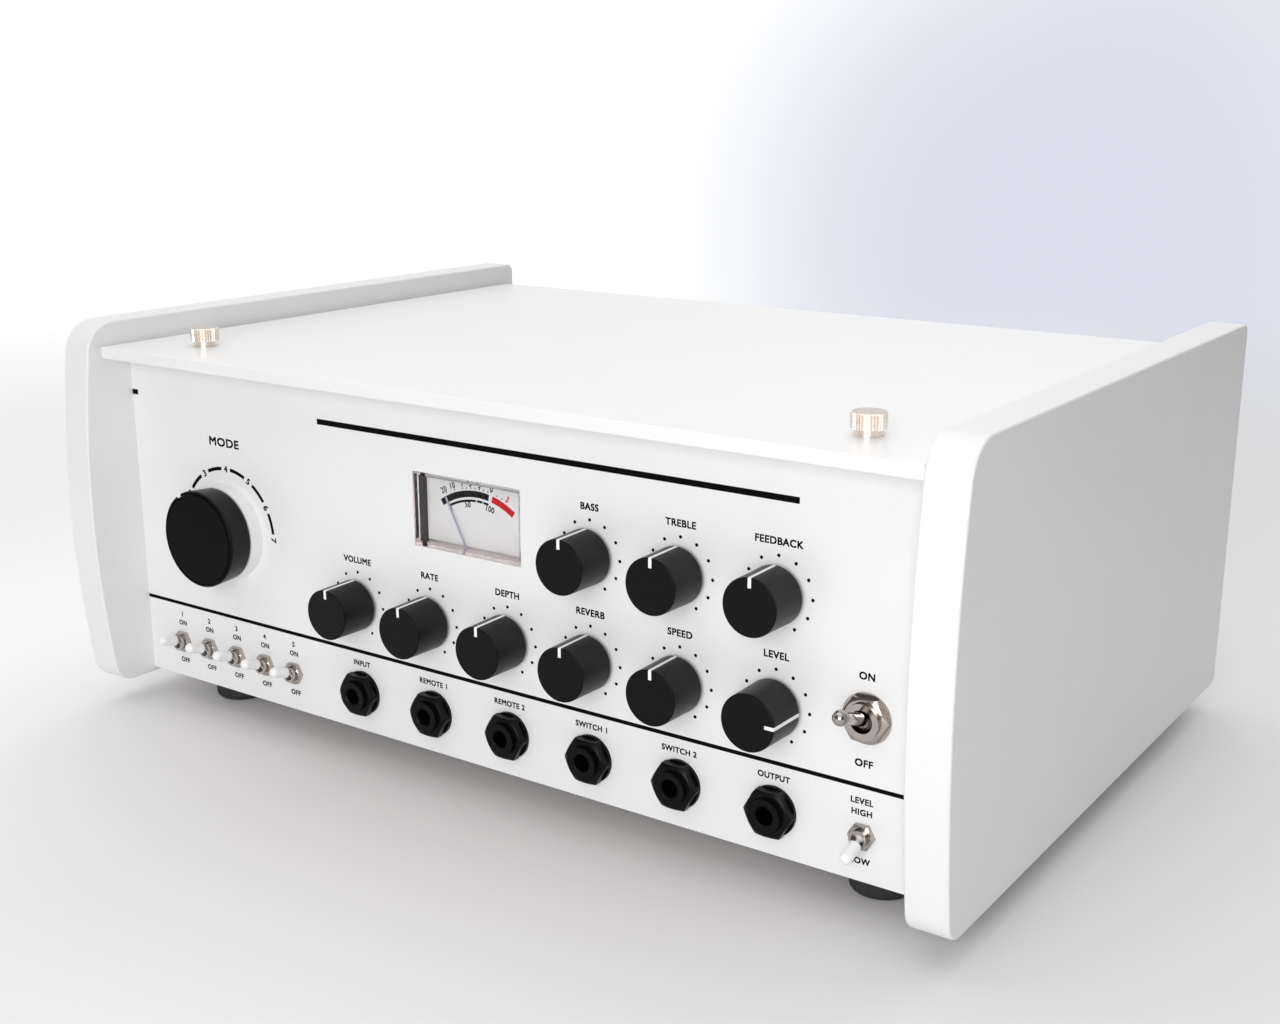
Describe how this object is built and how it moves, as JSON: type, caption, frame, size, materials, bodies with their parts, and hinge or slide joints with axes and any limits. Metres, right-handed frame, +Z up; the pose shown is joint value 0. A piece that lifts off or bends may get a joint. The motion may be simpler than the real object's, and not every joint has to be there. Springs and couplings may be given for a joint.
{
  "type": "tape echo unit",
  "caption": "Tabletop tape echo with chorus and spring reverb: steel case between white end cheeks, control panel with knobs, toggles, jacks and level meter, lift-off cover over a tape deck.",
  "frame": {"origin": "on the floor under the feet, at the centre of the bounding box", "axes": "+X to the right as the player sees the panel, +Y to the rear, +Z up"},
  "size_m": [0.405, 0.2804, 0.1685],
  "materials": {
    "cheek_paint": "fine textured white paint",
    "case_steel": "white powder coat",
    "panel_paint": "smooth white paint, black print",
    "cover_paint": "white powder coat",
    "foot_rubber": "matt black",
    "zinc_screws": "zinc plated",
    "thumbscrew_metal": "pale copper tint, knurled",
    "knob_black": "satin black, white pointer",
    "ring_white": "white",
    "switch_body": "moulded body",
    "pot_metal": "plated can",
    "nickel": "bright nickel",
    "jack_black": "black moulding",
    "lever_white": "white",
    "meter_body": "dark moulding",
    "dial_paper": "printed dial",
    "clear_plastic": "clear",
    "needle_metal": "thin blue-grey",
    "deck_aluminium": "satin",
    "head_steel": "polished face",
    "tape_brown": "oxide tape",
    "tank_plastic": "moulded",
    "steel_turned": "turned",
    "bronze": "sintered bronze",
    "motor_can": "plated can",
    "belt_rubber": "ground rubber",
    "brass_turned": "turned",
    "roller_rubber": "ground rubber",
    "coil": "plated frame",
    "tank_steel": "plated",
    "transformer_wrap": "varnished winding",
    "board_green": "solder mask",
    "inlet_black": "moulded"
  },
  "bodies": {
    "case": {"left_cheek": "cheek_paint", "right_cheek": "cheek_paint", "chassis": "case_steel", "front_panel": "panel_paint", "rear_panel": "case_steel", "rubber_feet": "foot_rubber", "case_screws": "zinc_screws", "mode_dial_ring": "ring_white", "mode_switch": "switch_body", "potentiometers": "pot_metal", "panel_nuts": "nickel", "jack_sockets": "jack_black", "jack_nuts": "jack_black", "mini_switches": "nickel", "power_switch": "nickel", "meter_housing": "meter_body", "meter_dial": "dial_paper", "meter_lens": "clear_plastic", "deck_plate": "deck_aluminium", "tape_heads": "head_steel", "tape_guides": "steel_turned", "tape_tank": "tank_plastic", "tape_tank_lid": "clear_plastic", "tape_loop": "tape_brown", "capstan_bearing": "bronze", "drive_motor": "motor_can", "motor_bracket": "deck_aluminium", "drive_belt": "belt_rubber", "solenoid": "coil", "reverb_tank": "tank_steel", "reverb_springs": "steel_turned", "power_transformer": "transformer_wrap", "circuit_boards": "board_green", "mains_inlet": "inlet_black"},
    "top_cover": {"top_cover": "cover_paint"},
    "thumbscrew_left": {"thumbscrew_left": "thumbscrew_metal"},
    "thumbscrew_right": {"thumbscrew_right": "thumbscrew_metal"},
    "mode_knob": {"mode_knob": "knob_black"},
    "line_volume_knob": {"line_volume_knob": "knob_black"},
    "chorus_rate_knob": {"chorus_rate_knob": "knob_black"},
    "chorus_depth_knob": {"chorus_depth_knob": "knob_black"},
    "reverb_volume_knob": {"reverb_volume_knob": "knob_black"},
    "speed_knob": {"speed_knob": "knob_black"},
    "echo_volume_knob": {"echo_volume_knob": "knob_black"},
    "bass_knob": {"bass_knob": "knob_black"},
    "treble_knob": {"treble_knob": "knob_black"},
    "feedback_knob": {"feedback_knob": "knob_black"},
    "direct_lever": {"direct_lever": "lever_white"},
    "motor_lever": {"motor_lever": "lever_white"},
    "sound_on_sound_lever": {"sound_on_sound_lever": "lever_white"},
    "echo_lever": {"echo_lever": "lever_white"},
    "chorus_lever": {"chorus_lever": "lever_white"},
    "output_level_lever": {"output_level_lever": "lever_white"},
    "power_lever": {"power_lever": "nickel"},
    "meter_needle": {"meter_needle": "needle_metal"},
    "flywheel": {"flywheel": "steel_turned"},
    "motor_pulley": {"motor_pulley": "brass_turned"},
    "pinch_arm": {"pinch_arm": "steel_turned"},
    "pinch_roller": {"pinch_roller": "roller_rubber"},
    "solenoid_plunger": {"solenoid_plunger": "steel_turned"}
  },
  "joints": [
    {"name": "cover_lift", "type": "slide", "parent": "case", "child": "top_cover", "axis": [0, 0, 1], "range_m": [0, 0.08]},
    {"name": "thumbscrew_left_turn", "type": "hinge", "parent": "top_cover", "child": "thumbscrew_left", "pos_m": [-0.1534, -0.10275, 0.1588], "axis": [0, 0, 1], "continuous": true},
    {"name": "thumbscrew_right_turn", "type": "hinge", "parent": "top_cover", "child": "thumbscrew_right", "pos_m": [0.1534, -0.10275, 0.1588], "axis": [0, 0, 1], "continuous": true},
    {"name": "mode_turn", "type": "hinge", "parent": "case", "child": "mode_knob", "pos_m": [-0.132, -0.11475, 0.085], "axis": [0, 1, 0], "range_deg": [-60, 120]},
    {"name": "line_volume_turn", "type": "hinge", "parent": "case", "child": "line_volume_knob", "pos_m": [-0.0591, -0.11475, 0.067], "axis": [0, 1, 0], "range_deg": [-150, 150]},
    {"name": "chorus_rate_turn", "type": "hinge", "parent": "case", "child": "chorus_rate_knob", "pos_m": [-0.02143, -0.11475, 0.067], "axis": [0, 1, 0], "range_deg": [-150, 150]},
    {"name": "chorus_depth_turn", "type": "hinge", "parent": "case", "child": "chorus_depth_knob", "pos_m": [0.01624, -0.11475, 0.067], "axis": [0, 1, 0], "range_deg": [-150, 150]},
    {"name": "reverb_volume_turn", "type": "hinge", "parent": "case", "child": "reverb_volume_knob", "pos_m": [0.05391, -0.11475, 0.067], "axis": [0, 1, 0], "range_deg": [-150, 150]},
    {"name": "speed_turn", "type": "hinge", "parent": "case", "child": "speed_knob", "pos_m": [0.09158, -0.11475, 0.067], "axis": [0, 1, 0], "range_deg": [-150, 150]},
    {"name": "echo_volume_turn", "type": "hinge", "parent": "case", "child": "echo_volume_knob", "pos_m": [0.12925, -0.11475, 0.067], "axis": [0, 1, 0], "range_deg": [-240, 60]},
    {"name": "bass_turn", "type": "hinge", "parent": "case", "child": "bass_knob", "pos_m": [0.05391, -0.11475, 0.1057], "axis": [0, 1, 0], "range_deg": [-150, 150]},
    {"name": "treble_turn", "type": "hinge", "parent": "case", "child": "treble_knob", "pos_m": [0.09158, -0.11475, 0.1057], "axis": [0, 1, 0], "range_deg": [-150, 150]},
    {"name": "feedback_turn", "type": "hinge", "parent": "case", "child": "feedback_knob", "pos_m": [0.12925, -0.11475, 0.1057], "axis": [0, 1, 0], "range_deg": [-150, 150]},
    {"name": "direct_switch", "type": "hinge", "parent": "case", "child": "direct_lever", "pos_m": [-0.1662, -0.11555, 0.0299], "axis": [1, 0, 0], "range_deg": [0, 36]},
    {"name": "motor_switch", "type": "hinge", "parent": "case", "child": "motor_lever", "pos_m": [-0.1491, -0.11555, 0.0299], "axis": [1, 0, 0], "range_deg": [0, 36]},
    {"name": "sound_on_sound_switch", "type": "hinge", "parent": "case", "child": "sound_on_sound_lever", "pos_m": [-0.132, -0.11555, 0.0299], "axis": [1, 0, 0], "range_deg": [0, 36]},
    {"name": "echo_switch", "type": "hinge", "parent": "case", "child": "echo_lever", "pos_m": [-0.1149, -0.11555, 0.0299], "axis": [1, 0, 0], "range_deg": [0, 36]},
    {"name": "chorus_switch", "type": "hinge", "parent": "case", "child": "chorus_lever", "pos_m": [-0.0978, -0.11555, 0.0299], "axis": [1, 0, 0], "range_deg": [0, 36]},
    {"name": "output_level_switch", "type": "hinge", "parent": "case", "child": "output_level_lever", "pos_m": [0.1626, -0.11555, 0.0299], "axis": [1, 0, 0], "range_deg": [-36, 0]},
    {"name": "power_switch", "type": "hinge", "parent": "case", "child": "power_lever", "pos_m": [0.1626, -0.11605, 0.0705], "axis": [1, 0, 0], "range_deg": [0, 40]},
    {"name": "needle_swing", "type": "hinge", "parent": "case", "child": "meter_needle", "pos_m": [-0.0033, -0.10855, 0.0874], "axis": [0, 1, 0], "range_deg": [0, 62], "stiffness_Nm_per_rad": 0.0002},
    {"name": "capstan_spin", "type": "hinge", "parent": "case", "child": "flywheel", "pos_m": [0.095, -0.0367, 0.0993], "axis": [0, 0, 1], "continuous": true},
    {"name": "motor_spin", "type": "hinge", "parent": "case", "child": "motor_pulley", "pos_m": [0.02, -0.0367, 0.0993], "axis": [0, 0, 1], "continuous": true},
    {"name": "pinch_swing", "type": "hinge", "parent": "case", "child": "pinch_arm", "pos_m": [0.135, -0.035, 0.12735], "axis": [0, 0, 1], "range_deg": [0, 10]},
    {"name": "roller_spin", "type": "hinge", "parent": "pinch_arm", "child": "pinch_roller", "pos_m": [0.095, -0.0481, 0.12155], "axis": [0, 0, 1], "continuous": true},
    {"name": "plunger_slide", "type": "slide", "parent": "case", "child": "solenoid_plunger", "axis": [1, 0, 0], "range_m": [-0.00385, 0]}
  ],
  "couplings": [
    {"joint": "motor_spin", "follows": "capstan_spin", "ratio": 5.8333},
    {"joint": "roller_spin", "follows": "capstan_spin", "ratio": -0.375},
    {"joint": "plunger_slide", "follows": "pinch_swing", "m_per_rad": -0.022}
  ]
}
